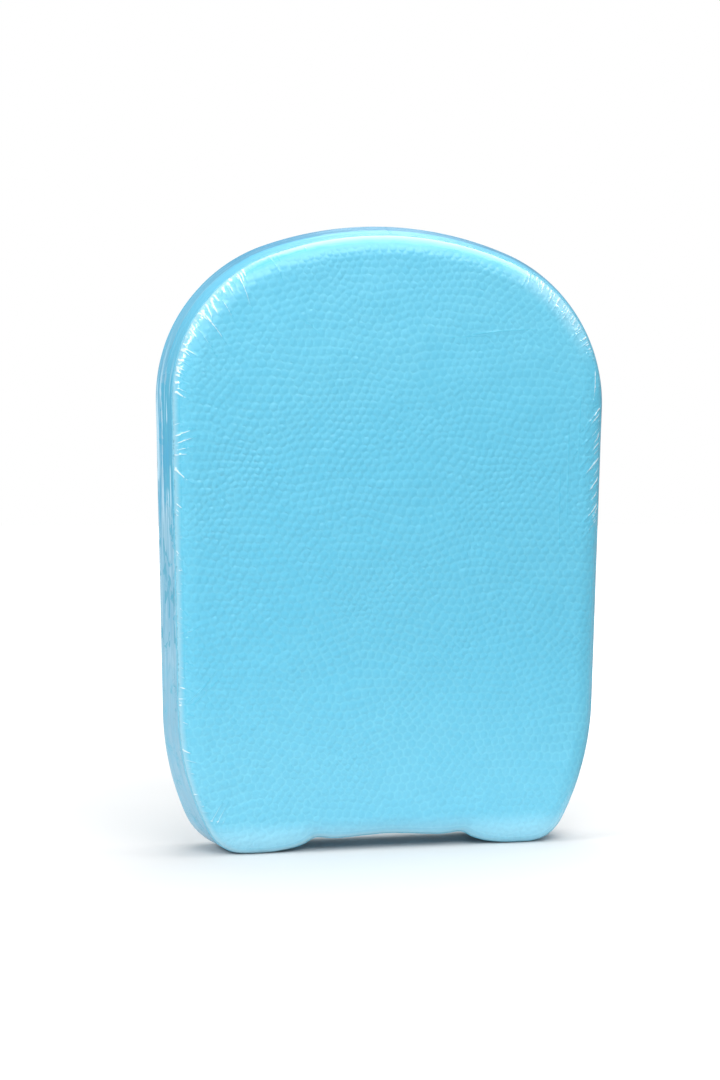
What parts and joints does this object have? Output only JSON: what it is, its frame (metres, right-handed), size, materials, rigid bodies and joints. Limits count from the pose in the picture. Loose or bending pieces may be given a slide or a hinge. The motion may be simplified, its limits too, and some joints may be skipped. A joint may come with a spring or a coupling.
{
  "type": "bodyboard",
  "caption": "Small bodyboard with a round nose, swollen rails and a recessed tail: a bead-foam core sealed in glossy heat-shrunk film, for floating and riding waves lying down.",
  "frame": {"origin": "on the floor, under the middle of the board as it stands on its tail", "axes": "+Z from the tail to the nose, X across the board, Y through its thickness with the deck facing -Y"},
  "size_m": [0.3004, 0.0516, 0.4034],
  "materials": {
    "bead_foam": "matte",
    "deck_film": "gloss",
    "hull_film": "gloss",
    "rail_film": "gloss",
    "weld_bead": "gloss",
    "splice_tape": "satin"
  },
  "bodies": {
    "root": {"foam_core": "bead_foam", "deck_film": "deck_film", "hull_film": "hull_film", "rail_band": "rail_film", "deck_seal_bead": "weld_bead", "hull_seal_bead": "weld_bead", "band_splice": "splice_tape"}
  },
  "joints": []
}
